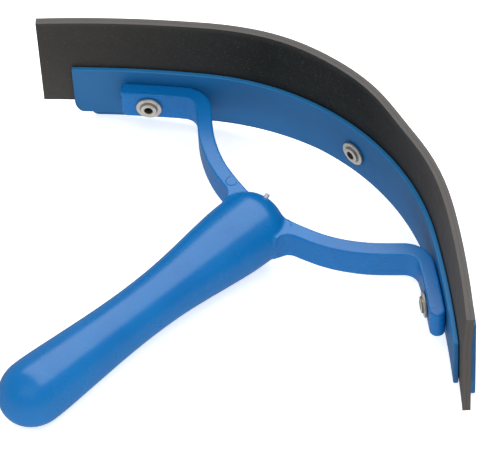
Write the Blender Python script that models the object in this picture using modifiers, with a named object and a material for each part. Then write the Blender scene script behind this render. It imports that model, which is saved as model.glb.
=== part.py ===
"""Curved-blade sweat scraper: a moulded grip with a two-armed yoke, riveted to a bowed rubber blade
that is clamped between two plastic strips.

The pieces are laid out in a drawing frame, in millimetres: +X across the blade, +Y from the grip
towards the blade, +Z up, from the middle of the rubber's inner face at its bottom edge. One empty
then tips the whole object back onto the end of its grip, which is how it stands on a table.
"""

import math

import bmesh
import bpy
import numpy as np
from mathutils import Matrix, Vector

MM = 0.001
GAP = 0.3  # air kept between pieces that touch

# How it stands: on the outer strip's two lower ends and on the end of the grip
REST_TILT = math.radians(5.957)
REST_SHIFT = (-0.41, 92.25, 15.63)

# The bow: the plan curve that the whole blade follows
BOW_MID_RADIUS = 110.0
BOW_END_RADIUS = 465.0
BOW_ARC_END = 62.8  # distance along the bow where the tight middle arc starts to open
BOW_FLAT_START = 71.7  # and where the nearly straight ends start

# The layers of the blade, from the grip's side outwards
INNER_THICK = 2.0
RUBBER_THICK = 3.2
OUTER_THICK = 2.8

# Outlines: distances along the bow, heights from the rubber's bottom edge
INNER_HALF = 122.8
INNER_LOW = -2.6
INNER_HIGH = 22.6
INNER_LEFT_CORNER = (3.6, 6.0)
INNER_RIGHT_CORNER = (1.5, 1.5)
RUBBER_HALF = 135.7
RUBBER_HIGH = 50.0
RUBBER_TAPER = 0.0183  # each long edge opens by this much per unit of length towards +X
LEAN_FROM = 34.0  # above this height the rubber is free
OUTER_START = -117.0
OUTER_END = 123.0
OUTER_LOW = -10.5
OUTER_HIGH = 33.2
OUTER_CORNER = 3.0

# The grip: a turned form lying along Y, rising slightly towards its free end
GRIP_TIP = (0.0, -47.0, 9.5)
GRIP_RISE = math.atan(0.05)
HEAD_RADIUS = 14.9
END_RADIUS = 13.2
END_LENGTH = 15.0
GRIP_STATIONS = (  # distance from the head's tip, radius
    (12.5, HEAD_RADIUS),
    (23.0, 14.6),
    (35.0, 13.5),
    (47.0, 12.2),
    (59.0, 11.2),
    (75.0, 10.8),
    (91.0, 11.2),
    (107.0, 12.1),
    (130.0, END_RADIUS),
)

# The yoke: arms in plan from the head to the bend, then a foot along the inner strip
ARM_LINE = ((0.0, -54.2), (12.0, -52.8), (22.0, -50.5), (30.0, -47.9), (38.0, -43.9), (46.0, -38.4))
ARM_THICK = 6.2
ARM_TOP = 16.0
ARM_HEIGHT = 13.2
ROOT_FILLET = 5.0  # rounds the corner between the arm and the grip's side of the head
ROOT_FILLET_X = 18.5
BEND_CENTRE = (61.3, -36.9)
BEND_RADIUS = 9.1
BEND_START = 132.0  # degrees round the bend's centre
BEND_END = 53.8
FOOT_START = 78.0  # distances along the bow
FOOT_TIP = 102.8
EDGE_ROUND = 0.5

# Rivets
RIVET_HEIGHT = 9.0
RIVET_SIDE = 90.7
RIVET_MIDDLE = 2.2
SHANK_RADIUS = 2.4
RIVET_HOLE = 2.7
FLANGE_RADIUS = 3.3
FLANGE_THICK = 0.8
SET_HEAD_RADIUS = 3.6
SET_HEAD_LENGTH = 2.2
BORE_RADIUS = 1.6
BORE_DEPTH = 5.0
MANDREL_RADIUS = 1.2
MANDREL_LENGTH = 4.0
WASHER_RADIUS = 5.3
WASHER_HOLE = 2.7
WASHER_THICK = 0.9
CURVE_ROOM = 0.14  # extra room under a flat washer on the hollow middle of the strip

# The stub left on the head where the moulding's gate was snapped off
STUB_RADIUS = 1.0
STUB_BASE = (0.0, -50.8, 20.6)
STUB_LEAN = math.radians(40)
STUB_STANDS = 2.0


def clear_scene():
    for obj in list(bpy.data.objects):
        bpy.data.objects.remove(obj)


def new_rest_pose():
    empty = bpy.data.objects.new("rest_pose", None)
    empty.rotation_euler = (REST_TILT, 0, 0)
    empty.location = Vector(REST_SHIFT) * MM
    bpy.context.scene.collection.objects.link(empty)
    return empty


def new_collection(name, helper=False):
    collection = bpy.data.collections.new(name)
    bpy.context.scene.collection.children.link(collection)
    collection.hide_render = helper
    return collection


def plastic_material(name, colour, roughness, metallic=0.0):
    material = bpy.data.materials.new(name)
    material.use_nodes = True
    shader = material.node_tree.nodes["Principled BSDF"]
    shader.inputs["Base Color"].default_value = (*colour, 1.0)
    shader.inputs["Roughness"].default_value = roughness
    shader.inputs["Metallic"].default_value = metallic
    return material


def add_object(name, bm, material, collection):
    """Turns a bmesh in millimetres into an object in metres, with smooth round faces."""
    bmesh.ops.scale(bm, vec=(MM, MM, MM), verts=bm.verts)
    bmesh.ops.recalc_face_normals(bm, faces=bm.faces)
    mesh = bpy.data.meshes.new(name)
    bm.to_mesh(mesh)
    bm.free()
    mesh.shade_smooth()
    mesh.set_sharp_from_angle(angle=math.radians(30))
    obj = bpy.data.objects.new(name, mesh)
    if material:
        mesh.materials.append(material)
    place_object(obj, collection)
    return obj


def place_object(obj, collection):
    """Everything hangs from the empty that gives the rest pose."""
    collection.objects.link(obj)
    obj.parent = bpy.data.objects["rest_pose"]


def boolean(obj, other, operation):
    modifier = obj.modifiers.new(operation.lower() + "_" + other.name, "BOOLEAN")
    modifier.operation = operation
    modifier.solver = "EXACT"
    modifier.object = other
    other.hide_render = True
    other.display_type = "WIRE"


# ---- The bow ----


def bow_curvature(distance):
    """The middle arc's curvature, easing to the ends' curvature over a short stretch."""
    share = np.clip((np.abs(distance) - BOW_ARC_END) / (BOW_FLAT_START - BOW_ARC_END), 0, 1)
    eased = share * share * (3 - 2 * share)
    return 1 / BOW_MID_RADIUS + (1 / BOW_END_RADIUS - 1 / BOW_MID_RADIUS) * eased


BOW_STEP = 0.1
BOW_REACH = 145.0
bow_s = np.arange(0, BOW_REACH, BOW_STEP)
bow_turn = np.concatenate([[0], np.cumsum(bow_curvature(bow_s[:-1] + BOW_STEP / 2) * BOW_STEP)])
bow_x = np.concatenate([[0], np.cumsum(np.cos((bow_turn[1:] + bow_turn[:-1]) / 2) * BOW_STEP)])
bow_y = np.concatenate([[0], np.cumsum(-np.sin((bow_turn[1:] + bow_turn[:-1]) / 2) * BOW_STEP)])


def bow_frame(s):
    """Point on the rubber's inner face, and the angle that the bow has turned through there."""
    side = math.copysign(1, s)
    distance = abs(s)
    x = side * float(np.interp(distance, bow_s, bow_x))
    y = float(np.interp(distance, bow_s, bow_y))
    turn = side * float(np.interp(distance, bow_s, bow_turn))
    return x, y, turn


def on_bow(s, outward, z):
    """The point at distance s along the bow, so far outward of the rubber's inner face, at height z."""
    x, y, turn = bow_frame(s)
    return Vector((x + outward * math.sin(turn), y + outward * math.cos(turn), z))


def bow_stations():
    """Where the flat strips are creased: close together in the arc, wider apart near the ends."""
    middle = np.linspace(-BOW_FLAT_START, BOW_FLAT_START, 27)
    ends = np.linspace(BOW_FLAT_START, BOW_REACH, 8)[1:]
    return sorted([*(-ends), *middle, *ends])


# ---- Flat strips, bent round the bow ----


def arc_points(centre, radius, start, end, count):
    """Points on a circle's arc, angles in degrees; radius may be (along, up) for an ellipse."""
    along, up = radius if isinstance(radius, tuple) else (radius, radius)
    angles = np.radians(np.linspace(start, end, count))
    return [(centre[0] + along * math.cos(a), centre[1] + up * math.sin(a)) for a in angles]


def rubber_lean(s, z):
    """The free part of the rubber isn't held by the strips, and its top edge waves in and out a little."""
    share = min(max((z - LEAN_FROM) / (RUBBER_HIGH - LEAN_FROM), 0), 1.2)
    inward = 2.0 * math.exp(-(((s - 32) / 20) ** 2))
    outward = 0.8 * math.exp(-(((s + 35) / 22) ** 2)) + 1.0 / (1 + math.exp((66 - s) / 5))
    return (outward - inward) * share**1.3


def inner_outline():
    """The end edges are upright, and of the lower corners only the left one is well rounded."""
    half, low = INNER_HALF, INNER_LOW
    left_across, left_up = INNER_LEFT_CORNER
    right_across, right_up = INNER_RIGHT_CORNER
    return [
        (-half, INNER_HIGH),
        *arc_points((-half + left_across, low + left_up), INNER_LEFT_CORNER, 180, 270, 6),
        *arc_points((half - right_across, low + right_up), INNER_RIGHT_CORNER, 270, 360, 6),
        (half, INNER_HIGH),
    ]


def rubber_outline():
    half = RUBBER_HALF
    opening = RUBBER_TAPER * half
    return [
        (-half, RUBBER_HIGH - opening),
        (-half, opening),
        (half, -opening),
        (half, RUBBER_HIGH + opening),
    ]


def outer_outline():
    corner = OUTER_CORNER
    return [
        (OUTER_START, OUTER_HIGH),
        *arc_points((OUTER_START + corner, OUTER_LOW + corner), corner, 180, 270, 5),
        *arc_points((OUTER_END - corner, OUTER_LOW + corner), corner, 270, 360, 5),
        (OUTER_END, OUTER_HIGH),
    ]


def slice_across(bm, stations, normal):
    for station in stations:
        everything = [*bm.verts, *bm.edges, *bm.faces]
        place = Vector(normal) * station
        bmesh.ops.bisect_plane(bm, geom=everything, plane_co=place, plane_no=normal, dist=1e-4)


def bent_strip(name, outline, outward, thickness, round_edge, material, collection, lean=None):
    """A flat strip is extruded from its outline, creased at the bow's stations and bent round the bow."""
    bm = bmesh.new()
    face = bm.faces.new([bm.verts.new((s, outward, z)) for s, z in outline])
    raised = bmesh.ops.extrude_face_region(bm, geom=[face])["geom"]
    moved = [v for v in raised if isinstance(v, bmesh.types.BMVert)]
    bmesh.ops.translate(bm, vec=(0, thickness, 0), verts=moved)
    bmesh.ops.recalc_face_normals(bm, faces=bm.faces)
    if round_edge:
        rims = [e for e in bm.edges if abs(e.verts[0].co.y - e.verts[1].co.y) < 1e-6]
        bmesh.ops.bevel(bm, geom=rims, offset=round_edge, segments=2, affect="EDGES", profile=0.5)
    slice_across(bm, bow_stations(), (1, 0, 0))
    if lean:
        slice_across(bm, (LEAN_FROM, LEAN_FROM + 5, LEAN_FROM + 10), (0, 0, 1))
    bmesh.ops.triangulate(bm, faces=[f for f in bm.faces if len(f.verts) > 4])
    for vert in bm.verts:
        s, out, z = vert.co
        vert.co = on_bow(s, out + (lean(s, z) if lean else 0), z)
    return add_object(name, bm, material, collection)


def rivet_matrix(s, outward):
    """A frame on the bow at rivet height, whose +Z points outward through the blade."""
    turn = bow_frame(s)[2]
    turned = Matrix.Rotation(-turn, 4, "Z") @ Matrix.Rotation(math.radians(-90), 4, "X")
    return Matrix.Translation(on_bow(s, outward, RIVET_HEIGHT)) @ turned


def cut_rivet_hole(obj, label, s, cutters):
    bm = bmesh.new()
    through = rivet_matrix(s, 0)
    size = {"segments": 24, "radius1": RIVET_HOLE, "radius2": RIVET_HOLE, "depth": 40}
    bmesh.ops.create_cone(bm, cap_ends=True, matrix=through, **size)
    cutter = add_object(obj.name + "_hole_" + label, bm, None, cutters)
    boolean(obj, cutter, "DIFFERENCE")


# ---- The grip and yoke ----


def grip_profile():
    """Radius against distance from the head's tip: a round head, a slim waist and a fuller end."""
    head_centre = GRIP_STATIONS[0][0]
    end_centre = GRIP_STATIONS[-1][0]
    points = []
    for angle in np.radians(np.linspace(0, 90, 9)[:-1]):
        points.append((head_centre * (1 - math.cos(angle)), HEAD_RADIUS * math.sin(angle)))
    distances = np.array([d for d, _ in GRIP_STATIONS])
    radii = np.array([r for _, r in GRIP_STATIONS])
    slopes = np.gradient(radii, distances)
    slopes[0] = slopes[-1] = 0
    for index in range(len(distances) - 1):
        span = distances[index + 1] - distances[index]
        for u in np.linspace(0, 1, 4)[:-1]:
            radius = (
                radii[index] * (1 + 2 * u) * (1 - u) ** 2
                + slopes[index] * span * u * (1 - u) ** 2
                + radii[index + 1] * u * u * (3 - 2 * u)
                + slopes[index + 1] * span * u * u * (u - 1)
            )
            points.append((distances[index] + u * span, radius))
    for angle in np.radians(np.linspace(90, 0, 9)):
        points.append((end_centre + END_LENGTH * math.cos(angle), END_RADIUS * math.sin(angle)))
    return points


def build_grip(material, collection):
    """The profile turned about the grip's axis by a Screw modifier."""
    bm = bmesh.new()
    profile = grip_profile()
    ordered = [bm.verts.new((radius, 0, -distance)) for distance, radius in profile]
    for first, second in zip(ordered, ordered[1:]):
        bm.edges.new((first, second))
    bmesh.ops.scale(bm, vec=(MM, MM, MM), verts=bm.verts)
    mesh = bpy.data.meshes.new("handle_yoke")
    bm.to_mesh(mesh)
    bm.free()
    mesh.materials.append(material)
    obj = bpy.data.objects.new("handle_yoke", mesh)
    obj.location = Vector(GRIP_TIP) * MM
    obj.rotation_euler = (math.radians(-90) - GRIP_RISE, 0, 0)
    place_object(obj, collection)
    screw = obj.modifiers.new("turn", "SCREW")
    screw.steps = 40
    screw.render_steps = 40
    screw.use_merge_vertices = True
    screw.merge_threshold = 0.00005
    screw.use_smooth_shade = True
    return obj


def yoke_centre_line():
    """Plan points from inside the head, round the bend and along the foot."""
    bend = [Vector(p) for p in arc_points(BEND_CENTRE, BEND_RADIUS, BEND_START, BEND_END, 11)]
    foot_middle = -(GAP * 2 + INNER_THICK + ARM_THICK / 2)
    tip_centre = FOOT_TIP - ARM_THICK / 2
    foot = [on_bow(s, foot_middle, 0).to_2d() for s in np.linspace(FOOT_START, tip_centre, 5)]
    return smooth_line([Vector(p) for p in ARM_LINE] + bend[:1]) + bend[1:] + foot


def root_flare(point):
    """The fillet that widens the arm towards the grip where it runs into the head."""
    inward = min(max(ROOT_FILLET_X - point.x, 0), ROOT_FILLET)
    return ROOT_FILLET - math.sqrt(ROOT_FILLET**2 - inward**2)


def smooth_line(points):
    """Catmull-Rom points through a plan line, three to each stretch."""
    result = []
    for index in range(len(points) - 1):
        before = points[max(index - 1, 0)]
        here = points[index]
        ahead = points[index + 1]
        after = points[min(index + 2, len(points) - 1)]
        for u in (0, 1 / 3, 2 / 3):
            result.append(
                0.5
                * (
                    2 * here
                    + (ahead - before) * u
                    + (2 * before - 5 * here + 4 * ahead - after) * u * u
                    + (3 * here - before - 3 * ahead + after) * u**3
                )
            )
    result.append(points[-1])
    return result


def yoke_outline():
    """The closed plan outline of one arm and foot, with a half-round tip."""
    points = yoke_centre_line()
    left, right = [], []
    for index, point in enumerate(points):
        along = (points[min(index + 1, len(points) - 1)] - points[max(index - 1, 0)]).normalized()
        across = Vector((-along.y, along.x))
        left.append(point + across * ARM_THICK / 2)
        right.append(point - across * (ARM_THICK / 2 + root_flare(point)))
    tip = points[-1]
    radial = left[-1] - tip
    cap = [tip + Matrix.Rotation(-math.pi * share, 2) @ radial for share in np.linspace(0, 1, 9)[1:-1]]
    return left + cap + right[::-1]


def build_arm(side, cutters):
    bm = bmesh.new()
    face = bm.faces.new([bm.verts.new((p.x * side, p.y, ARM_TOP - ARM_HEIGHT)) for p in yoke_outline()])
    raised = bmesh.ops.extrude_face_region(bm, geom=[face])["geom"]
    moved = [v for v in raised if isinstance(v, bmesh.types.BMVert)]
    bmesh.ops.translate(bm, vec=(0, 0, ARM_HEIGHT), verts=moved)
    bmesh.ops.recalc_face_normals(bm, faces=bm.faces)
    rims = [e for e in bm.edges if abs(e.verts[0].co.z - e.verts[1].co.z) < 1e-6]
    bmesh.ops.bevel(bm, geom=rims, offset=EDGE_ROUND, segments=2, affect="EDGES", profile=0.5)
    return add_object("arm_left" if side < 0 else "arm_right", bm, None, cutters)


def build_stub(cutters):
    bm = bmesh.new()
    length = 6.0
    leaned = Matrix.Translation(STUB_BASE) @ Matrix.Rotation(STUB_LEAN - math.radians(90), 4, "X")
    place = leaned @ Matrix.Translation((0, 0, STUB_STANDS - length / 2))
    size = {"segments": 16, "radius1": STUB_RADIUS, "radius2": STUB_RADIUS, "depth": length}
    bmesh.ops.create_cone(bm, cap_ends=True, matrix=place, **size)
    return add_object("gate_stub", bm, None, cutters)


def build_handle(material, collection, cutters):
    handle = build_grip(material, collection)
    for side in (-1, 1):
        boolean(handle, build_arm(side, cutters), "UNION")
    boolean(handle, build_stub(cutters), "UNION")
    for label, s in (("left", -RIVET_SIDE), ("right", RIVET_SIDE)):
        cut_rivet_hole(handle, label, s, cutters)
    return handle


# ---- Rivets ----


def turned_piece(name, profile, place, material, collection, steps=24):
    """A (radius, height) profile, outer side first, turned about its own Z and set in place."""
    bm = bmesh.new()
    ordered = [bm.verts.new((radius, 0, height)) for radius, height in profile]
    for first, second in zip(ordered, ordered[1:]):
        bm.edges.new((first, second))
    if profile[0][0] > 0:
        bm.edges.new((ordered[-1], ordered[0]))
    bmesh.ops.scale(bm, vec=(MM, MM, MM), verts=bm.verts)
    mesh = bpy.data.meshes.new(name)
    bm.to_mesh(mesh)
    bm.free()
    mesh.materials.append(material)
    obj = bpy.data.objects.new(name, mesh)
    obj.matrix_basis = Matrix.Translation(place.translation * MM) @ place.to_3x3().to_4x4()
    place_object(obj, collection)
    screw = obj.modifiers.new("turn", "SCREW")
    screw.steps = steps
    screw.render_steps = steps
    screw.use_merge_vertices = True
    screw.merge_threshold = 0.00001
    return obj


def build_rivet(label, s, seat, metal, steel, collection):
    """seat is how far outward the surface lies that the washer sits on; it is negative."""
    washer_base = seat - GAP
    flange_base = washer_base - WASHER_THICK - GAP
    back = RUBBER_THICK + GAP + OUTER_THICK + GAP
    length = back - flange_base
    place = rivet_matrix(s, flange_base)
    washer = [
        (WASHER_RADIUS, GAP + WASHER_THICK),
        (WASHER_RADIUS, GAP + 0.25),
        (WASHER_RADIUS - 0.25, GAP),
        (WASHER_HOLE, GAP),
        (WASHER_HOLE, GAP + WASHER_THICK),
    ]
    turned_piece("washer_" + label, washer, place, metal, collection)
    rivet = [
        (0, length + SET_HEAD_LENGTH),
        (SET_HEAD_RADIUS * 0.6, length + SET_HEAD_LENGTH),
        (SET_HEAD_RADIUS, length + SET_HEAD_LENGTH * 0.5),
        (SET_HEAD_RADIUS, length),
        (SHANK_RADIUS, length),
        (SHANK_RADIUS, 0),
        (FLANGE_RADIUS, 0),
        (FLANGE_RADIUS - 0.2, -0.5 * FLANGE_THICK),
        (FLANGE_RADIUS - 1.1, -FLANGE_THICK),
        (BORE_RADIUS, -FLANGE_THICK),
        (BORE_RADIUS, BORE_DEPTH),
        (0, BORE_DEPTH),
    ]
    turned_piece("rivet_" + label, rivet, place, metal, collection)
    top = BORE_DEPTH - GAP
    mandrel = [
        (0, top),
        (MANDREL_RADIUS, top),
        (MANDREL_RADIUS, top - MANDREL_LENGTH),
        (0, top - MANDREL_LENGTH),
    ]
    turned_piece("mandrel_" + label, mandrel, place, steel, collection, steps=16)


def main():
    clear_scene()
    new_rest_pose()
    parts = new_collection("sweat_scraper")
    cutters = new_collection("cutters", helper=True)
    grip_blue = plastic_material("grip_blue", (0.013, 0.209, 0.521), 0.25)
    strip_blue = plastic_material("strip_blue", (0.030, 0.127, 0.330), 0.45)
    rubber = plastic_material("dark_rubber", (0.028, 0.030, 0.030), 0.75)
    aluminium = plastic_material("rivet_aluminium", (0.60, 0.57, 0.52), 0.35, metallic=1.0)
    steel = plastic_material("mandrel_steel", (0.12, 0.11, 0.10), 0.45, metallic=1.0)

    build_handle(grip_blue, parts, cutters)
    inner_face = -(GAP + INNER_THICK)
    outer_face = RUBBER_THICK + GAP
    strips = (
        bent_strip("inner_strip", inner_outline(), inner_face, INNER_THICK, 0.4, strip_blue, parts),
        bent_strip("rubber_blade", rubber_outline(), 0.0, RUBBER_THICK, 0.3, rubber, parts, rubber_lean),
        bent_strip("outer_strip", outer_outline(), outer_face, OUTER_THICK, 0.0, strip_blue, parts),
    )
    foot_face = inner_face - GAP - ARM_THICK
    rivets = (
        ("left", -RIVET_SIDE, foot_face),
        ("middle", RIVET_MIDDLE, inner_face - CURVE_ROOM),
        ("right", RIVET_SIDE, foot_face),
    )
    for label, s, seat in rivets:
        for strip in strips:
            cut_rivet_hole(strip, label, s, cutters)
        build_rivet(label, s, seat, aluminium, steel, parts)


main()
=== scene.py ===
# %% [markdown]
# # A curved-blade sweat scraper
#
# The tool is a moulded blue grip whose two arms are riveted to a bowed blade. The blade is a sandwich of
# a thin inner strip, a wide band of dark rubber and a taller outer strip. The solid model already has
# every piece in its place, so this lesson loads it and builds a finished skin over each piece.

import math

import bmesh
import bpy
import numpy as np
from mathutils import Matrix, Vector


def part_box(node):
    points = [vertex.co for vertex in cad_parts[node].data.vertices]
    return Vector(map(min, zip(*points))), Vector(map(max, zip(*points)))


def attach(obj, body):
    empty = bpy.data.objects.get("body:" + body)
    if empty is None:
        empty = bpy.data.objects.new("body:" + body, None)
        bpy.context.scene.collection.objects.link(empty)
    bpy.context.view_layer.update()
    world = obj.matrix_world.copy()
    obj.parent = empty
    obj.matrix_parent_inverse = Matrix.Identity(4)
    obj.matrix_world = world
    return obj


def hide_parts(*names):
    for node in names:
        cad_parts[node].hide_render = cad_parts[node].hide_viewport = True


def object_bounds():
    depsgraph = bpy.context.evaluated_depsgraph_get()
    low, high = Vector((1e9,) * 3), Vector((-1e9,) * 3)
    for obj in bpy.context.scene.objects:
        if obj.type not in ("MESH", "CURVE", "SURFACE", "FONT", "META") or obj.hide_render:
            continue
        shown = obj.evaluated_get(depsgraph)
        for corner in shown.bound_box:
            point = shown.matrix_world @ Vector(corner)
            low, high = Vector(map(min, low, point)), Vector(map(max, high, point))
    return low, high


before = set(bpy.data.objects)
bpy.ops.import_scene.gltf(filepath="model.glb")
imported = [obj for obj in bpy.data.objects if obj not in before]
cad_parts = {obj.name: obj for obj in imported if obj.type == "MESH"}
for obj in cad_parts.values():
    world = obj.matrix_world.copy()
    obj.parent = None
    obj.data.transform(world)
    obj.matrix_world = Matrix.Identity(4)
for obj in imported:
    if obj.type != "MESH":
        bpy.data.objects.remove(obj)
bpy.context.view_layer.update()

# %% [markdown]
# The solids are drawn in a level frame, in millimetres, measured from the middle of the rubber's inner
# face at its bottom edge. The tool then stands tipped back on the end of its grip. One matrix holds both
# the tip and the change to metres, so every piece here is drawn level and is stood up as its last step.

# %% From the drawing to the table
MM = 0.001
GAP = 0.3
STAND_TILT = math.radians(5.957)
STAND_SHIFT = Vector((-0.41, 92.25, 15.63))
STAND = Matrix.Scale(MM, 4) @ Matrix.Translation(STAND_SHIFT) @ Matrix.Rotation(STAND_TILT, 4, "X")

rubber_low, rubber_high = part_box("rubber_blade")
print("rubber spans", round((rubber_high - rubber_low).x / MM, 1), "mm across")

# %% [markdown]
# The whole blade follows one plan curve: a tight arc in the middle that eases into nearly straight ends.
# Giving the curvature against the distance along the bow, and adding it up twice, gives a curve with no
# visible kink where the two parts meet. Two arcs put end to end would show one in the reflections.

# %% The bow
BOW_MID_RADIUS = 110.0
BOW_END_RADIUS = 465.0
BOW_ARC_END = 62.8
BOW_FLAT_START = 71.7
BOW_STEP = 0.1


def bow_curvature(distance):
    share = np.clip((np.abs(distance) - BOW_ARC_END) / (BOW_FLAT_START - BOW_ARC_END), 0, 1)
    eased = share * share * (3 - 2 * share)
    return 1 / BOW_MID_RADIUS + (1 / BOW_END_RADIUS - 1 / BOW_MID_RADIUS) * eased


bow_s = np.arange(0, 145, BOW_STEP)
bow_turn = np.concatenate([[0], np.cumsum(bow_curvature(bow_s[:-1] + BOW_STEP / 2) * BOW_STEP)])
bow_between = (bow_turn[1:] + bow_turn[:-1]) / 2
bow_x = np.concatenate([[0], np.cumsum(np.cos(bow_between) * BOW_STEP)])
bow_y = np.concatenate([[0], np.cumsum(-np.sin(bow_between) * BOW_STEP)])


def bow_angle(s):
    return math.copysign(float(np.interp(abs(s), bow_s, bow_turn)), s)


def on_bow(s, outward, z):
    """The point s along the bow, so far outward of the rubber's inner face, at height z."""
    turn = bow_angle(s)
    x = math.copysign(float(np.interp(abs(s), bow_s, bow_x)), s)
    y = float(np.interp(abs(s), bow_s, bow_y))
    return Vector((x + outward * math.sin(turn), y + outward * math.cos(turn), z))


print("the bow turns", round(math.degrees(bow_angle(135.7)), 1), "degrees by the rubber's end")

# %% [markdown]
# A finish is a small network of nodes: noise textures vary the colour and the roughness, and a fine one
# drives a bump. These helpers keep each recipe short. All textures use object coordinates, so a scale
# of 1000 means details of about a millimetre.

# %% Helpers for the finishes
class Finish:
    """A material with a Principled shader and short ways to add textures to it."""

    def __init__(self, name, colour, roughness, metallic=0.0):
        self.material = bpy.data.materials.new(name)
        self.material.use_nodes = True
        self.material.diffuse_color = (*colour, 1)
        self.tree = self.material.node_tree
        self.shader = self.tree.nodes["Principled BSDF"]
        self.shader.inputs["Base Color"].default_value = (*colour, 1)
        self.shader.inputs["Roughness"].default_value = roughness
        self.shader.inputs["Metallic"].default_value = metallic
        self.place = self.tree.nodes.new("ShaderNodeTexCoord").outputs["Object"]
        self.last_bump = None

    def link(self, output, target):
        self.tree.links.new(output, target)
        return output

    def stretched(self, scale, turn=0.0):
        """Object coordinates scaled differently along each axis, for streaks."""
        node = self.tree.nodes.new("ShaderNodeMapping")
        node.inputs["Scale"].default_value = scale
        node.inputs["Rotation"].default_value = (0, 0, turn)
        self.link(self.place, node.inputs["Vector"])
        return node.outputs["Vector"]

    def noise(self, scale, detail=4.0, rough=0.5, place=None):
        node = self.tree.nodes.new("ShaderNodeTexNoise")
        node.inputs["Scale"].default_value = scale
        node.inputs["Detail"].default_value = detail
        node.inputs["Roughness"].default_value = rough
        self.link(place or self.place, node.inputs["Vector"])
        return node.outputs["Fac"]

    def ramp(self, value, *stops):
        """Stops are (position, grey or colour)."""
        node = self.tree.nodes.new("ShaderNodeValToRGB")
        elements = node.color_ramp.elements
        while len(elements) < len(stops):
            elements.new(0.5)
        for element, (position, shade) in zip(elements, stops):
            colour = shade if isinstance(shade, tuple) else (shade, shade, shade)
            element.position = position
            element.color = (*colour, 1)
        self.link(value, node.inputs["Fac"])
        return node.outputs["Color"]

    def mix(self, share, first, second):
        """Colours or outputs, mixed by share."""
        node = self.tree.nodes.new("ShaderNodeMix")
        node.data_type = "RGBA"
        for source, socket in ((share, node.inputs[0]), (first, node.inputs[6]), (second, node.inputs[7])):
            if isinstance(source, tuple):
                socket.default_value = (*source, 1)
            elif isinstance(source, (int, float)):
                socket.default_value = source
            else:
                self.link(source, socket)
        return node.outputs[2]

    def colour(self, output):
        self.link(output, self.shader.inputs["Base Color"])

    def rough(self, output):
        self.link(output, self.shader.inputs["Roughness"])

    def bump(self, height, depth_mm, strength=1.0):
        node = self.tree.nodes.new("ShaderNodeBump")
        node.inputs["Strength"].default_value = strength
        node.inputs["Distance"].default_value = depth_mm * MM
        self.link(height, node.inputs["Height"])
        if self.last_bump:
            self.link(self.last_bump, node.inputs["Normal"])
        self.last_bump = self.link(node.outputs["Normal"], self.shader.inputs["Normal"])

    def mark(self, name):
        """A value that the mesh code left on each vertex, such as how squarely it faces up or down."""
        node = self.tree.nodes.new("ShaderNodeAttribute")
        node.attribute_name = name
        return node.outputs["Fac"]

    def across(self, axis, low, high):
        """Runs from 0 to 1 between two places along one axis, in metres."""
        split = self.tree.nodes.new("ShaderNodeSeparateXYZ")
        self.link(self.place, split.inputs["Vector"])
        node = self.tree.nodes.new("ShaderNodeMapRange")
        node.inputs["From Min"].default_value = low
        node.inputs["From Max"].default_value = high
        self.link(split.outputs[axis], node.inputs["Value"])
        return node.outputs["Result"]


# %% [markdown]
# The grip is a thick glossy moulding. Its colour is deep and even, but its skin is not optically flat:
# plastic shrinks unevenly as it cools, so wide soft waves bend the reflections a little, and handling
# leaves patches that are a touch duller. A very fine grain softens the edge of each reflection.

# %% Glossy blue plastic
GRIP_BLUE = (0.002, 0.155, 0.450)
GRIP_DEEP = (0.001, 0.130, 0.400)


def glossy_blue():
    finish = Finish("grip_blue", GRIP_BLUE, 0.3)
    cloud = finish.noise(38, 3)
    finish.colour(finish.mix(finish.ramp(cloud, (0.3, 0.0), (0.7, 1.0)), GRIP_DEEP, GRIP_BLUE))
    finish.rough(finish.ramp(finish.noise(60, 6, 0.6), (0.3, 0.24), (0.7, 0.31)))
    finish.bump(finish.noise(45, 2), 0.10)
    finish.bump(finish.noise(900, 3), 0.012)
    finish.shader.inputs["IOR"].default_value = 1.5
    return finish.material


grip_blue = glossy_blue()
print("finish:", grip_blue.name)

# %% [markdown]
# The clamp strips are cut from thin sheet, so their sheen is softer than the grip's and has a faint
# drawn grain along the sheet. The grain is noise squeezed along the height of the strip, which leaves
# long streaks the other way. Their rims that face up or down are painted paler, a painted highlight for the
# light that falls on them.

# %% Semi-matt blue sheet
STRIP_BLUE = (0.004, 0.100, 0.275)
STRIP_LIGHT = (0.008, 0.125, 0.320)
STRIP_RIM_LIGHT = (0.024, 0.200, 0.470)


def sheet_blue():
    finish = Finish("strip_blue", STRIP_BLUE, 0.42)
    cloud = finish.noise(25, 4)
    colour = finish.mix(finish.ramp(cloud, (0.35, 0.0), (0.7, 1.0)), STRIP_BLUE, STRIP_LIGHT)
    # painted highlight: rims that face up or down are lightened by the rim mark
    finish.colour(finish.mix(finish.mark("painted_rim_light"), colour, STRIP_RIM_LIGHT))
    finish.rough(finish.ramp(finish.noise(90, 5, 0.6), (0.3, 0.42), (0.7, 0.52)))
    streaks = finish.noise(55, 4, 0.6, finish.stretched((1, 1, 26)))
    finish.bump(streaks, 0.03)
    finish.bump(finish.noise(1500, 3), 0.02)
    finish.shader.inputs["Specular IOR Level"].default_value = 0.35
    return finish.material


strip_blue = sheet_blue()
print("finish:", strip_blue.name)

# %% [markdown]
# The band is pressed rubber sheet. It is matt and nearly black, with a fine cloth-like texture left by the
# press and grey dust caught in it, and its rims that face up or down are painted paler as painted light.
# Two crossed streaky noises make the weave of the press cloth, and a speckle adds the dust. Both ends
# are paler than the middle: the left end is browner in tone, and the right end carries a painted sheen,
# the grazing reflection on its face. A gradient across the blade gives them more plainly than any noise
# would.

# %% Dark rubber
RUBBER_DARK = (0.007, 0.009, 0.008)
RUBBER_GREY = (0.014, 0.016, 0.015)
RUBBER_WARM = (0.052, 0.045, 0.040)
# The next colour is a painted sheen: the grazing reflection that the right end's face shows.
RUBBER_SHEEN = (0.080, 0.072, 0.068)
RUBBER_DUST = (0.085, 0.080, 0.074)
RUBBER_RIM_LIGHT = (0.110, 0.104, 0.100)
END_FADES = ((-0.04, -0.13, RUBBER_WARM), (0.005, 0.085, RUBBER_SHEEN))  # starts at x, full at x, in metres
END_SHARE = 0.9


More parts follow.
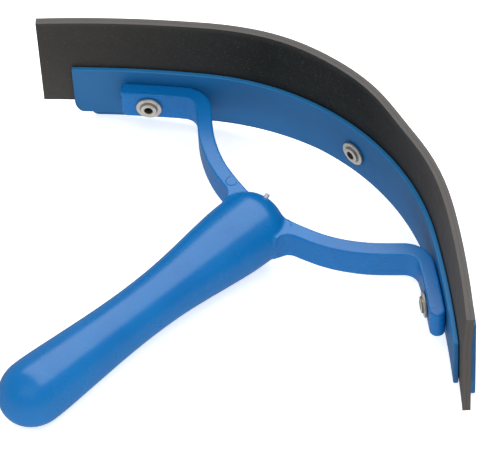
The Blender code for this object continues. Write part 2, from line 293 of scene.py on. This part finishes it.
def dark_rubber():
    finish = Finish("dark_rubber", RUBBER_DARK, 0.72)
    cloud = finish.noise(18, 5, 0.6)
    colour = finish.mix(finish.ramp(cloud, (0.35, 0.0), (0.68, 1.0)), RUBBER_DARK, RUBBER_GREY)
    # the left end's fade is tone; the right end's fade paints a sheen, the grazing reflection on its face
    for start, full, shade in END_FADES:
        fade = finish.ramp(finish.across("X", start, full), (0.0, 0.0), (1.0, END_SHARE))
        colour = finish.mix(fade, colour, shade)
    speckle = finish.ramp(finish.noise(1400, 2, 0.7), (0.60, 0.0), (0.72, 0.55))
    colour = finish.mix(speckle, colour, RUBBER_DUST)
    # painted highlight: rims that face up or down are lightened by the rim mark
    finish.colour(finish.mix(finish.mark("painted_rim_light"), colour, RUBBER_RIM_LIGHT))
    finish.rough(finish.ramp(finish.noise(130, 4), (0.3, 0.62), (0.7, 0.8)))
    finish.bump(finish.noise(700, 2, 0.5, finish.stretched((1, 1, 3))), 0.05)
    finish.bump(finish.noise(700, 2, 0.5, finish.stretched((3, 3, 1))), 0.05)
    finish.shader.inputs["Specular IOR Level"].default_value = 0.25
    return finish.material


rubber_dark = dark_rubber()
print("finish:", rubber_dark.name)

# %% [markdown]
# Rivets and washers are pressed from soft aluminium. They come out of the tumbler dull and slightly warm
# from oxide, with patchy grime. Painted shade darkens the bore, the crease round the flange and the
# washer's rim, where shadow falls. Those are all circles round the rivet's axis, so the mesh code marks
# each vertex with its distance from the axis, and a colour ramp over that mark paints the shade rings
# exactly where they belong.

# %% Dull aluminium and dark steel
ALU_CLEAN = (0.90, 0.86, 0.78)
ALU_GRIMY = (0.45, 0.39, 0.32)
# the next colour is painted shade for the bore, the flange's crease and the washer's rim
ALU_SHADE = (0.12, 0.10, 0.08)
SHADE_RINGS = (  # distance from the axis in centimetres, share of painted shade
    (0.17, 1.0),
    (0.20, 0.0),
    (0.315, 0.0),
    (0.328, 0.9),
    (0.36, 0.5),
    (0.40, 0.0),
    (0.50, 0.0),
    (0.53, 0.7),
)
STEEL_DARK = (0.008, 0.007, 0.006)
STEEL_LIGHT = (0.03, 0.028, 0.026)


def dull_aluminium():
    finish = Finish("rivet_aluminium", ALU_CLEAN, 0.38, metallic=0.6)
    grime = finish.ramp(finish.noise(420, 5, 0.65), (0.52, 0.0), (0.72, 0.6))
    colour = finish.mix(grime, ALU_CLEAN, ALU_GRIMY)
    # painted shade rings: the bore, round the flange and the washer's rim, where shadow falls
    corner = finish.ramp(finish.mark("from_axis"), *SHADE_RINGS)
    finish.colour(finish.mix(corner, colour, ALU_SHADE))
    finish.rough(finish.ramp(finish.noise(600, 4), (0.3, 0.32), (0.7, 0.5)))
    finish.bump(finish.noise(1200, 4, 0.6), 0.03)
    return finish.material


def dark_steel():
    finish = Finish("mandrel_steel", STEEL_DARK, 0.5, metallic=1.0)
    finish.colour(finish.ramp(finish.noise(1500, 4), (0.35, STEEL_DARK), (0.75, STEEL_LIGHT)))
    finish.bump(finish.noise(2200, 4, 0.7), 0.06)
    return finish.material


rivet_aluminium = dull_aluminium()
mandrel_steel = dark_steel()
print("finishes:", rivet_aluminium.name, "and", mandrel_steel.name)

# %% [markdown]
# Every piece ends the same way: its mesh is stood up in place, given its finish, tied to the solid
# model's one body, and the solid it stands for, if any, is hidden.

# %% Finishing a piece
def finish_piece(name, mesh, finish, stands_for):
    obj = bpy.data.objects.new(name, mesh)
    bpy.context.scene.collection.objects.link(obj)
    mesh.transform(STAND)
    mesh.materials.append(finish)
    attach(obj, "root")
    if stands_for:
        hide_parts(stands_for)
    print(name, "has", len(mesh.polygons), "faces")
    return obj


def smooth_mesh(name, bm):
    bmesh.ops.recalc_face_normals(bm, faces=bm.faces)
    mesh = bpy.data.meshes.new(name)
    bm.to_mesh(mesh)
    bm.free()
    mesh.shade_smooth()
    return mesh


def weigh_normals(obj):
    """Flat faces stay flat to the eye, and only the rounded edges between them shade round."""
    modifier = obj.modifiers.new("flat faces", "WEIGHTED_NORMAL")
    modifier.weight = 100


# %% [markdown]
# A strip starts as a flat outline: distance along the bow against height. It is given its thickness, its
# edges are rounded, and it is sliced every couple of millimetres so that it can bend. Then each vertex
# moves to its place on the bow. Bending a finished flat plate keeps the ends square to the curve, as in a
# real sheet that is bent round and riveted. While the plate is still flat, each vertex is also marked
# with how squarely it faces up or down, and the finishes use that mark to paint light onto those rims.

# %% Bending a flat plate round the bow
SLICE = 2.0
SHARP_ENOUGH = math.radians(30)
RIM_LIGHT_GAIN = 1.25
LEAN_FROM = 34.0
LEAN_SLICE = 4.0
LEAN_SLICES = 4


def ellipse_arc(centre, along, up, start, end, count=9):
    angles = np.radians(np.linspace(start, end, count))
    return [(centre[0] + along * math.cos(a), centre[1] + up * math.sin(a)) for a in angles]


def slice_plate(bm, stations, normal):
    for station in stations:
        everything = [*bm.verts, *bm.edges, *bm.faces]
        place = Vector(normal) * station
        bmesh.ops.bisect_plane(bm, geom=everything, plane_co=place, plane_no=normal, dist=1e-4)


def bent_plate(name, outline, outward, thickness, edge_round, lean=None):
    bm = bmesh.new()
    face = bm.faces.new([bm.verts.new((s, outward, z)) for s, z in outline])
    raised = bmesh.ops.extrude_face_region(bm, geom=[face])["geom"]
    moved = [v for v in raised if isinstance(v, bmesh.types.BMVert)]
    bmesh.ops.translate(bm, vec=(0, thickness, 0), verts=moved)
    bmesh.ops.recalc_face_normals(bm, faces=bm.faces)
    rims = [e for e in bm.edges if e.calc_face_angle(0) > SHARP_ENOUGH]
    bmesh.ops.bevel(bm, geom=rims, offset=edge_round, segments=3, affect="EDGES", profile=0.5)
    reach = max(abs(s) for s, _ in outline)
    slice_plate(bm, np.arange(-reach + SLICE, reach, SLICE), (1, 0, 0))
    if lean:
        slice_plate(bm, [LEAN_FROM + LEAN_SLICE * i for i in range(LEAN_SLICES)], (0, 0, 1))
    bm.normal_update()
    rim_light = bm.verts.layers.float.new("painted_rim_light")
    for vert in bm.verts:
        s, out, z = vert.co
        # this mark paints light onto the rims that face up or down
        vert[rim_light] = min(abs(vert.normal.z) * RIM_LIGHT_GAIN, 1)
        vert.co = on_bow(s, out + (lean(s, z) if lean else 0), z)
    return smooth_mesh(name, bm)


# %% [markdown]
# The inner strip is the thin one on the grip's side. Its top corners are square, its lower left corner is
# well rounded and its lower right one only slightly. The outer strip is thicker and taller, reaches lower,
# and was riveted on a few millimetres off centre, so its two ends are not quite alike.

# %% The two clamp strips
INNER_THICK = 2.0
INNER_HALF = 122.8
INNER_LOW, INNER_HIGH = -2.6, 22.6
INNER_CORNERS = ((3.6, 6.0), (1.5, 1.5))
RUBBER_THICK = 3.2
OUTER_THICK = 2.8
OUTER_START, OUTER_END = -117.0, 123.0
OUTER_LOW, OUTER_HIGH = -10.5, 33.2
OUTER_CORNERS = ((3.0, 3.0), (3.0, 3.0))
INNER_EDGE_ROUND, OUTER_EDGE_ROUND = 0.45, 0.35


def strip_outline(start, end, low, high, corners):
    (left_across, left_up), (right_across, right_up) = corners
    return [
        (start, high),
        *ellipse_arc((start + left_across, low + left_up), left_across, left_up, 180, 270),
        *ellipse_arc((end - right_across, low + right_up), right_across, right_up, 270, 360),
        (end, high),
    ]


inner_flat = strip_outline(-INNER_HALF, INNER_HALF, INNER_LOW, INNER_HIGH, INNER_CORNERS)
outer_flat = strip_outline(OUTER_START, OUTER_END, OUTER_LOW, OUTER_HIGH, OUTER_CORNERS)
inner_mesh = bent_plate("inner_clamp", inner_flat, -GAP - INNER_THICK, INNER_THICK, INNER_EDGE_ROUND)
outer_mesh = bent_plate("outer_clamp", outer_flat, RUBBER_THICK + GAP, OUTER_THICK, OUTER_EDGE_ROUND)
inner_clamp = finish_piece("inner_clamp", inner_mesh, strip_blue, "inner_strip")
outer_clamp = finish_piece("outer_clamp", outer_mesh, strip_blue, "outer_strip")
weigh_normals(inner_clamp)
weigh_normals(outer_clamp)

# %% [markdown]
# The rubber band is wider than both strips and longer than both. Its cut end shows two plies pressed
# together, so it is built as two thin bands with a hairline between them. The band opens slightly
# towards one end, because it was cut a little out of square. Above the strips nothing holds it, so its
# free edge waves in and out by a couple of millimetres: one dip inward, one swell outward and a step.

# %% The rubber band
RUBBER_HALF = 135.7
RUBBER_TALL = 50.0
RUBBER_TAPER = 0.0183
PLY_LINE = 0.02
PLY_EDGE_ROUND = 0.08
DIP_DEPTH, DIP_PLACE, DIP_REACH = 2.0, 32, 20
SWELL_HEIGHT, SWELL_PLACE, SWELL_REACH = 0.8, -35, 22
STEP_HEIGHT, STEP_PLACE, STEP_REACH = 1.0, 66, 5
LEAN_POWER = 1.3
LEAN_MOST = 1.2


def rubber_lean(s, z):
    """How far the free edge waves in and out, above the part that the strips hold."""
    share = min(max((z - LEAN_FROM) / (RUBBER_TALL - LEAN_FROM), 0), LEAN_MOST)
    dip = DIP_DEPTH * math.exp(-(((s - DIP_PLACE) / DIP_REACH) ** 2))
    swell = SWELL_HEIGHT * math.exp(-(((s - SWELL_PLACE) / SWELL_REACH) ** 2))
    step = STEP_HEIGHT / (1 + math.exp((STEP_PLACE - s) / STEP_REACH))
    return (swell + step - dip) * share**LEAN_POWER


def rubber_outline():
    opening = RUBBER_TAPER * RUBBER_HALF
    return [
        (-RUBBER_HALF, RUBBER_TALL - opening),
        (-RUBBER_HALF, opening),
        (RUBBER_HALF, -opening),
        (RUBBER_HALF, RUBBER_TALL + opening),
    ]


ply_thick = (RUBBER_THICK - PLY_LINE) / 2
plies = (
    ("rubber_front_ply", 0.0, "rubber_blade"),
    ("rubber_back_ply", (RUBBER_THICK + PLY_LINE) / 2, None),
)
for name, outward, stands_for in plies:
    mesh = bent_plate(name, rubber_outline(), outward, ply_thick, PLY_EDGE_ROUND, rubber_lean)
    weigh_normals(finish_piece(name, mesh, rubber_dark, stands_for))

# %% [markdown]
# The grip, its round head, the arms and the feet are one moulding, and they run into each other with
# small fillets. Joining meshes leaves a hard crease there, and bevelling such a crease seldom works. A
# formula for the distance to the surface is a cleaner way: the smaller of two distances joins two
# shapes, and a softened minimum joins them with a fillet. First comes the turned grip.

# %% Distance to the turned grip
GRIP_TIP = np.array([0.0, -47.0, 9.5])
GRIP_RISE = math.atan(0.05)
HEAD_RADIUS = 14.9
END_RADIUS = 13.2
END_LENGTH = 15.0
GRIP_STATIONS = (
    (12.5, HEAD_RADIUS),
    (23.0, 14.6),
    (35.0, 13.5),
    (47.0, 12.2),
    (59.0, 11.2),
    (75.0, 10.8),
    (91.0, 11.2),
    (107.0, 12.1),
    (130.0, END_RADIUS),
)

grip_axis = np.array([0.0, -math.cos(GRIP_RISE), math.sin(GRIP_RISE)])
station_d = np.array([d for d, _ in GRIP_STATIONS])
station_r = np.array([r for _, r in GRIP_STATIONS])
station_slope = np.gradient(station_r, station_d)
station_slope[0] = station_slope[-1] = 0.0


def grip_radius(distance):
    """A smooth cubic through the stations: radius at this distance from the head's tip."""
    d = np.clip(distance, station_d[0], station_d[-1])
    i = np.clip(np.searchsorted(station_d, d) - 1, 0, len(station_d) - 2)
    span = station_d[i + 1] - station_d[i]
    u = (d - station_d[i]) / span
    return (
        station_r[i] * (1 + 2 * u) * (1 - u) ** 2
        + station_slope[i] * span * u * (1 - u) ** 2
        + station_r[i + 1] * u * u * (3 - 2 * u)
        + station_slope[i + 1] * span * u * u * (u - 1)
    )


def grip_distance(p):
    along = (p - GRIP_TIP) @ grip_axis
    radial = np.linalg.norm(p - GRIP_TIP - along[:, None] * grip_axis, axis=1)
    slope = (grip_radius(along + 0.05) - grip_radius(along - 0.05)) / 0.1
    body = (radial - grip_radius(along)) / np.sqrt(1 + slope**2)
    head = cap_distance(along - station_d[0], radial, station_d[0], HEAD_RADIUS)
    end = cap_distance(along - station_d[-1], radial, END_LENGTH, END_RADIUS)
    return np.where(along < station_d[0], head, np.where(along > station_d[-1], end, body))


def cap_distance(along, radial, length, radius):
    """Near enough the distance to a half-ellipsoid."""
    reach = np.hypot(along / length, radial / radius)
    steepness = np.hypot(along / length**2, radial / radius**2)
    return (reach - 1) * reach / np.maximum(steepness, 1e-9)


print("grip radius at its waist:", round(float(grip_radius(np.array([75.0]))[0]), 2), "mm")

# %% [markdown]
# An arm and its foot are one bar of constant width that follows a plan line: out of the head,
# round a tight bend and along the inner strip. Its distance formula takes the nearest point of that
# line, subtracts half the bar's width, and treats the height the same way.

# %% Distance to the arms and feet
ARM_LINE = ((0.0, -54.2), (12.0, -52.8), (22.0, -50.5), (30.0, -47.9), (38.0, -43.9), (46.0, -38.4))
ARM_THICK = 6.2
ARM_TOP = 16.0
ARM_HEIGHT = 13.2
ROOT_FILLET = 5.0
ROOT_FILLET_X = 18.5
BEND_CENTRE = (61.3, -36.9)
BEND_RADIUS = 9.1
BEND_START, BEND_END = 132.0, 53.8
BEND_POINTS = 25
FOOT_START, FOOT_TIP = 78.0, 102.8
EDGE_SOFT = 0.7
JOIN_SOFT = 1.6


def smooth_line(points):
    """Catmull-Rom points through a plan line."""
    result = []
    for i in range(len(points) - 1):
        before, here = points[max(i - 1, 0)], points[i]
        ahead, after = points[i + 1], points[min(i + 2, len(points) - 1)]
        for u in np.linspace(0, 1, 6)[:-1]:
            bow = (2 * before - 5 * here + 4 * ahead - after) * u * u
            twist = (3 * here - before - 3 * ahead + after) * u**3
            result.append(0.5 * (2 * here + (ahead - before) * u + bow + twist))
    result.append(points[-1])
    return result


def yoke_line():
    bend = ellipse_arc(BEND_CENTRE, BEND_RADIUS, BEND_RADIUS, BEND_START, BEND_END, BEND_POINTS)
    bend = [np.array(p) for p in bend]
    foot_middle = -(2 * GAP + INNER_THICK + ARM_THICK / 2)
    foot = [on_bow(s, foot_middle, 0) for s in np.linspace(FOOT_START, FOOT_TIP - ARM_THICK / 2, 8)]
    arm = smooth_line([np.array(p) for p in ARM_LINE] + bend[:1])
    return np.array(arm + bend[1:] + [np.array(p[:2]) for p in foot])


yoke_path = yoke_line()


def nearest_on_path(plan):
    """Distance to the yoke's line, the x of the nearest point there, and which side of the line it is on."""
    best = np.full(len(plan), 1e9)
    near_x = np.zeros(len(plan))
    side = np.zeros(len(plan))
    for start, end in zip(yoke_path, yoke_path[1:]):
        step = end - start
        offset = plan - start
        share = np.clip(offset @ step / (step @ step), 0, 1)
        gap = offset - share[:, None] * step
        distance = np.hypot(gap[:, 0], gap[:, 1])
        closer = distance < best
        best = np.where(closer, distance, best)
        near_x = np.where(closer, start[0] + share * step[0], near_x)
        side = np.where(closer, step[0] * gap[:, 1] - step[1] * gap[:, 0], side)
    return best, near_x, side


def arm_distance(p):
    plan = np.column_stack([np.abs(p[:, 0]), p[:, 1]])
    distance, near_x, side = nearest_on_path(plan)
    inward = np.clip(ROOT_FILLET_X - near_x, 0, ROOT_FILLET)
    flare = ROOT_FILLET - np.sqrt(ROOT_FILLET**2 - inward**2)
    across = distance - ARM_THICK / 2 - np.where(side < 0, flare, 0)
    up = np.abs(p[:, 2] - (ARM_TOP - ARM_HEIGHT / 2)) - ARM_HEIGHT / 2
    out = np.hypot(np.maximum(across + EDGE_SOFT, 0), np.maximum(up + EDGE_SOFT, 0))
    return out + np.minimum(np.maximum(across, up) + EDGE_SOFT, 0) - EDGE_SOFT


print("the yoke's line has", len(yoke_path), "points")

# %% [markdown]
# The solid model's own moulding, remeshed into an even skin, is the starting cloth. Each of its vertices
# then slides to where the joined distance is zero. The direction to slide in is the formula's slope, and
# the same slope is the exact surface normal, so the gloss comes out clean on a modest mesh.

# %% Wrapping a skin over the moulding
SKIN_GRAIN = 0.55
SLIDE_ROUNDS = 5
SLIDE_MOST = 0.6
HOLE_REACH = 15  # beyond this far from a rivet, its hole is ignored
NO_HOLE = -1e3
RIVET_SIDE = 90.7
RIVET_MIDDLE = 2.2
RIVET_HEIGHT = 9.0
RIVET_HOLE = 2.7


def hole_distance(p, s):
    """Positive inside the rivet hole, so that the larger of two distances cuts it out."""
    start = np.array(on_bow(s, 0, RIVET_HEIGHT))
    turn = bow_angle(s)
    axis = np.array([math.sin(turn), math.cos(turn), 0])
    offset = p - start
    sideways = offset - (offset @ axis)[:, None] * axis
    near = np.abs(p[:, 0] - start[0]) < HOLE_REACH
    return np.where(near, RIVET_HOLE - np.linalg.norm(sideways, axis=1), NO_HOLE)


def moulding_distance(p):
    grip, arm = grip_distance(p), arm_distance(p)
    share = np.clip(0.5 + 0.5 * (arm - grip) / JOIN_SOFT, 0, 1)
    joined = arm + (grip - arm) * share - JOIN_SOFT * share * (1 - share)
    return np.maximum(joined, np.maximum(hole_distance(p, -RIVET_SIDE), hole_distance(p, RIVET_SIDE)))


def slope_of(distance, p, step=0.04):
    slope = np.empty_like(p)
    for axis in range(3):
        shift = np.zeros(3)
        shift[axis] = step
        slope[:, axis] = (distance(p + shift) - distance(p - shift)) / (2 * step)
    return slope


def wrap_skin(name, node, distance):
    source = bpy.data.objects.new(name + "_cloth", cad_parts[node].data.copy())
    bpy.context.scene.collection.objects.link(source)
    remesh = source.modifiers.new("even skin", "REMESH")
    remesh.mode = "VOXEL"
    remesh.voxel_size = SKIN_GRAIN * MM
    graph = bpy.context.evaluated_depsgraph_get()
    mesh = bpy.data.meshes.new_from_object(source.evaluated_get(graph))
    bpy.data.objects.remove(source)
    mesh.name = name
    mesh.materials.clear()
    mesh.transform(STAND.inverted())
    points = np.empty(len(mesh.vertices) * 3)
    mesh.vertices.foreach_get("co", points)
    points = points.reshape(-1, 3)
    for _ in range(SLIDE_ROUNDS):
        slope = slope_of(distance, points)
        steep = np.maximum((slope**2).sum(1), 0.05)
        points -= slope * (distance(points) / steep)[:, None].clip(-SLIDE_MOST, SLIDE_MOST)
    mesh.vertices.foreach_set("co", points.ravel())
    mesh.shade_smooth()
    normals = slope_of(distance, points)
    normals /= np.linalg.norm(normals, axis=1)[:, None]
    print("left over after sliding:", round(float(np.abs(distance(points)).max()), 3), "mm at most")
    return mesh, normals


moulding_mesh, moulding_normals = wrap_skin("grip_moulding", "handle_yoke", moulding_distance)
grip_moulding = finish_piece("grip_moulding", moulding_mesh, grip_blue, "handle_yoke")
stood = moulding_normals @ np.array(STAND.to_3x3().normalized()).T
moulding_mesh.normals_split_custom_set_from_vertices(stood)

# %% [markdown]
# Two kinds of small mark are left by the mould. The pins that push the part out leave an open ring on
# each arm's top, and the gate where the plastic came in leaves a small stub that leans out of the head.
# The rings are thin beads on an arc, and the stub is a turned peg whose root is sunk in the head. The
# turning helper also leaves the mark that places the aluminium's rings of painted shade. It leaves them off
# a rivet's far end, which has no bore.

# %% Marks from the mould
RING_RADIUS = 2.3
RING_BEAD = 0.22
RING_PLACES = ((-19.2, -50.7, 150), (12.3, -52.4, 20))
RING_SWEEP, RING_STEPS, BEAD_SIDES = 230, 28, 8
MM_IN_CM = 10
UNSHADED_ABOVE = 6.0  # height on a turned profile where the rivet's far end starts
UNSHADED_MARK = 0.27
STUB_RADIUS = 1.0
STUB_BASE = (0.0, -50.8, 20.6)
STUB_LEAN = math.radians(40)
STUB_STANDS = 2.0
STUB_ROOT = -2.5


def turned(name, profile, place, steps=48):
    """A (radius, height) profile turned about +Z, then moved by the matrix place."""
    bm = bmesh.new()
    ring = [bm.verts.new((radius, 0, height)) for radius, height in profile]
    edges = [bm.edges.new(pair) for pair in zip(ring, ring[1:])]
    if profile[0][0] > 0:
        edges.append(bm.edges.new((ring[-1], ring[0])))
    geometry = [*ring, *edges]
    bmesh.ops.spin(bm, geom=geometry, cent=(0, 0, 0), axis=(0, 0, 1), angle=math.tau, steps=steps)
    bmesh.ops.remove_doubles(bm, verts=bm.verts, dist=1e-4)
    from_axis = bm.verts.layers.float.new("from_axis")
    for vert in bm.verts:
        radius = math.hypot(vert.co.x, vert.co.y) / MM_IN_CM
        # a rivet's far end gets a mark that the ramp leaves free of painted shade
        vert[from_axis] = radius if vert.co.z < UNSHADED_ABOVE else UNSHADED_MARK
    bmesh.ops.transform(bm, matrix=place, verts=bm.verts)
    return smooth_mesh(name, bm)


def open_ring(name, x, y, start, top):
    """A bead bent round two thirds of a circle, half sunk in the arm."""
    bm = bmesh.new()
    circles = []
    for angle in np.radians(np.linspace(start, start + RING_SWEEP, RING_STEPS)):
        outward = Vector((math.cos(angle), math.sin(angle), 0))
        middle = Vector((x, y, top)) + outward * RING_RADIUS
        circle = []
        for around in np.linspace(0, math.tau, BEAD_SIDES, endpoint=False):
            bead = outward * math.cos(around) + Vector((0, 0, 1)) * math.sin(around)
            circle.append(bm.verts.new(middle + bead * RING_BEAD))
        circles.append(circle)
    for first, second in zip(circles, circles[1:]):
        for i in range(BEAD_SIDES):
            after = (i + 1) % BEAD_SIDES
            bm.faces.new((first[i], first[after], second[after], second[i]))
    bm.faces.new(circles[0])
    bm.faces.new(circles[-1])
    return smooth_mesh(name, bm)


for number, (x, y, start) in enumerate(RING_PLACES, 1):
    ring = open_ring(f"ejector_ring_{number}", x, y, start, ARM_TOP)
    finish_piece(ring.name, ring, grip_blue, None)

stub_profile = (
    (STUB_RADIUS, STUB_ROOT),
    (STUB_RADIUS, STUB_STANDS - 0.3),
    (0.75, STUB_STANDS - 0.05),
    (0.3, STUB_STANDS),
    (0, STUB_STANDS - 0.1),
    (0, STUB_ROOT),
)
stub_place = Matrix.Translation(STUB_BASE) @ Matrix.Rotation(STUB_LEAN - math.pi / 2, 4, "X")

# %% [markdown]
# The gate stub is stress-whitened where it was snapped off, so it has its own pale, slightly pink finish
# that lets a little light through.

# %% The gate stub
GATE_PALE = (0.62, 0.50, 0.55)
GATE_BLUE = (0.25, 0.33, 0.52)


def whitened_blue():
    finish = Finish("gate_whitened", GATE_PALE, 0.45)
    finish.colour(finish.ramp(finish.noise(900, 4), (0.35, GATE_BLUE), (0.6, GATE_PALE)))
    finish.bump(finish.noise(1800, 4, 0.7), 0.08)
    finish.shader.inputs["Subsurface Weight"].default_value = 0.3
    finish.shader.inputs["Subsurface Radius"].default_value = (0.001, 0.001, 0.0015)
    return finish.material


stub_mesh = turned("gate_stub", stub_profile[::-1], stub_place)
finish_piece("gate_stub", stub_mesh, whitened_blue(), None)

# %% [markdown]
# A blind rivet is a flanged tube. Pulling its steel mandrel swells the far end and snaps the mandrel off
# inside, so the front shows a shallow dome with a dark hole. Each one bears on a flat washer. All
# three sets are the same turned profiles, set square to the bow at their own places.

# %% Rivets, washers and mandrel stubs
WASHER_RADIUS, WASHER_BORE, WASHER_THICK = 5.3, 2.7, 0.9
FLANGE_RADIUS, FLANGE_THICK = 3.3, 0.8
SHANK_RADIUS = 2.4
BORE_RADIUS, BORE_DEPTH = 1.6, 5.0
SET_RADIUS, SET_LENGTH = 3.6, 2.2
STUB_WIRE, STUB_WIRE_LENGTH = 1.2, 4.0
CURVE_ROOM = 0.14


def rounded(corner, radius, start, end):
    """A quarter arc for a turned profile, round the centre corner."""
    return ellipse_arc(corner, radius, radius, start, end, 5)


def washer_profile():
    r, top, base = 0.28, WASHER_THICK, 0.0
    return [
        *rounded((WASHER_RADIUS - r, top - r), r, 90, 0),
        *rounded((WASHER_RADIUS - r, base + r), r, 0, -90),
        *rounded((WASHER_BORE + 0.15, base + 0.15), 0.15, 270, 180),
        *rounded((WASHER_BORE + 0.15, top - 0.15), 0.15, 180, 90),
    ]


def rivet_profile(length):
    """Heights run outward through the blade from under the flange."""
    return [
        (0, length + SET_LENGTH),
        *rounded((SET_RADIUS - 1.3, length + SET_LENGTH - 1.3), 1.3, 90, 0),
        *rounded((SET_RADIUS - 0.4, length + 0.4), 0.4, 0, -90),
        (SHANK_RADIUS, length),
        (SHANK_RADIUS, 0),
        *rounded((FLANGE_RADIUS - 0.12, -0.12), 0.12, 90, 0),
        *rounded((FLANGE_RADIUS - 0.3, -0.35), 0.3, 0, -55),
        (BORE_RADIUS + 0.75, -FLANGE_THICK + 0.03),
        (BORE_RADIUS + 0.35, -FLANGE_THICK),
        (BORE_RADIUS + 0.12, -FLANGE_THICK + 0.06),
        (BORE_RADIUS, -FLANGE_THICK + 0.3),
        (BORE_RADIUS, BORE_DEPTH),
        (0, BORE_DEPTH),
    ]


def mandrel_profile():
    low = BORE_DEPTH - GAP - STUB_WIRE_LENGTH
    return [
        (0, low + STUB_WIRE_LENGTH),
        (STUB_WIRE, low + STUB_WIRE_LENGTH),
        (STUB_WIRE, low + 0.3),
        (STUB_WIRE * 0.7, low),
        (0, low + 0.15),
    ]


def rivet_set(side, s, seat):
    turn = Matrix.Rotation(-bow_angle(s), 4, "Z") @ Matrix.Rotation(-math.pi / 2, 4, "X")
    washer_at = seat - GAP - WASHER_THICK
    flange_at = washer_at - GAP
    through = RUBBER_THICK + 2 * GAP + OUTER_THICK - flange_at
    places = {
        "washer": (washer_profile(), washer_at, rivet_aluminium, "rivet_aluminium"),
        "rivet": (rivet_profile(through), flange_at, rivet_aluminium, "rivet_aluminium"),
        "mandrel": (mandrel_profile(), flange_at, mandrel_steel, "mandrel_steel"),
    }
    for kind, (profile, outward, metal, slot) in places.items():
        place = Matrix.Translation(on_bow(s, outward, RIVET_HEIGHT)) @ turn
        mesh = turned(f"{kind}_{side}_skin", profile, place)
        weigh_normals(finish_piece(mesh.name, mesh, metal, f"{kind}_{side}"))


foot_face = -(2 * GAP + INNER_THICK + ARM_THICK)
strip_face = -(GAP + INNER_THICK + CURVE_ROOM)
rivet_set("left", -RIVET_SIDE, foot_face)
rivet_set("middle", RIVET_MIDDLE, strip_face)
rivet_set("right", RIVET_SIDE, foot_face)

# %% [markdown]
# The tool stands on a plain pale floor under one very wide soft box that hangs overhead and reaches
# towards the blade's side. It draws the long soft band along the grip. A second, smaller box on the
# grip's side only fills in shade: it is hidden from reflections, and so is the floor, because each of
# them would lay a grey veil over the deep blue. The floor glows faintly, so that it stays white, and
# dim white surroundings do the rest.

# %% Floor, light and surroundings
FLOOR_SIZE = 12.0
FLOOR_DROP = 0.0002  # keeps the floor just clear of the tool
FLOOR_PALE = (0.95, 0.95, 0.95)
TENT_STRENGTH = 0.26
BOX_CENTRE = Vector((-0.26, 0.50, 1.0))
BOX_WIDE, BOX_DEEP = 1.8, 1.06
BOX_POWER = 14.5
STAGE_CENTRE = (0.0, 0.0, 0.03)
FILL_CENTRE = Vector((0.40, -0.80, 1.15))
FILL_WIDE, FILL_TALL = 1.3, 0.9
FILL_POWER = 11.0
FLOOR_GLOW = 0.6


def pale_floor():
    finish = Finish("pale_floor", FLOOR_PALE, 0.9)
    finish.colour(finish.ramp(finish.noise(6, 3), (0.3, FLOOR_PALE), (0.7, (0.97, 0.97, 0.97))))
    finish.shader.inputs["Specular IOR Level"].default_value = 0.0
    finish.shader.inputs["Emission Color"].default_value = (1, 1, 1, 1)
    finish.shader.inputs["Emission Strength"].default_value = FLOOR_GLOW
    return finish.material


def make_floor():
    bm = bmesh.new()
    bmesh.ops.create_grid(bm, x_segments=8, y_segments=8, size=FLOOR_SIZE / 2)
    mesh = bpy.data.meshes.new("studio_floor")
    bm.to_mesh(mesh)
    bm.free()
    mesh.materials.append(pale_floor())
    floor = bpy.data.objects.new("studio_floor", mesh)
    floor.location.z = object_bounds()[0][2] - FLOOR_DROP
    floor.visible_glossy = False
    bpy.context.scene.collection.objects.link(floor)
    return floor


def soft_box(name, centre, wide, deep, power, aim=None):
    data = bpy.data.lights.new(name, "AREA")
    data.shape = "RECTANGLE"
    data.size, data.size_y = wide, deep
    data.energy = power
    light = bpy.data.objects.new(name, data)
    light.location = centre
    if aim is not None:
        light.rotation_euler = (Vector(aim) - centre).to_track_quat("-Z", "Y").to_euler()
    bpy.context.scene.collection.objects.link(light)
    return light


floor = make_floor()
overhead = soft_box("overhead_soft_box", BOX_CENTRE, BOX_WIDE, BOX_DEEP, BOX_POWER)
front = soft_box("front_soft_box", FILL_CENTRE, FILL_WIDE, FILL_TALL, FILL_POWER, STAGE_CENTRE)
front.visible_glossy = False
tent = bpy.data.worlds.new("light_tent")
tent.use_nodes = True
tent.node_tree.nodes["Background"].inputs["Color"].default_value = (1, 1, 1, 1)
tent.node_tree.nodes["Background"].inputs["Strength"].default_value = TENT_STRENGTH
bpy.context.scene.world = tent
bpy.context.scene.view_settings.view_transform = "Standard"
print("studio ready, soft box at", tuple(overhead.location))

# %% [markdown]
# The camera looks down from behind the grip's right-hand side through a long lens, so that parallel
# edges stay nearly parallel. It is set up in the level drawing frame, and then stood up like the pieces.

# %% Camera
LOOK_AT = Vector((0.0, -61.18, 11.04))
CAMERA_AROUND = math.radians(47.01)
CAMERA_UP = math.radians(49.58)
CAMERA_ROLL = -0.05947
CAMERA_AWAY = 1434.3
LENS_MM = 263.38
SENSOR_MM = 36
CAMERA_REACH = 50


def camera_pose():
    flat = math.cos(CAMERA_UP)
    back = Vector((math.sin(CAMERA_AROUND) * flat, -math.cos(CAMERA_AROUND) * flat, math.sin(CAMERA_UP)))
    right = Vector((0, 0, 1)).cross(back).normalized()
    level = Matrix((right, back.cross(right), back)).transposed().to_4x4()
    drawing = Matrix.Translation(LOOK_AT + back * CAMERA_AWAY) @ level @ Matrix.Rotation(CAMERA_ROLL, 4, "Z")
    stood = STAND @ drawing
    return Matrix.Translation(stood.translation) @ stood.to_3x3().normalized().to_4x4()


camera_data = bpy.data.cameras.new("camera")
camera_data.lens = LENS_MM
camera_data.sensor_width = SENSOR_MM
camera_data.sensor_fit = "HORIZONTAL"
camera_data.clip_end = CAMERA_REACH
camera = bpy.data.objects.new("camera", camera_data)
camera.matrix_world = camera_pose()
bpy.context.scene.collection.objects.link(camera)
bpy.context.scene.camera = camera
print("camera at", [round(v, 3) for v in camera.location])
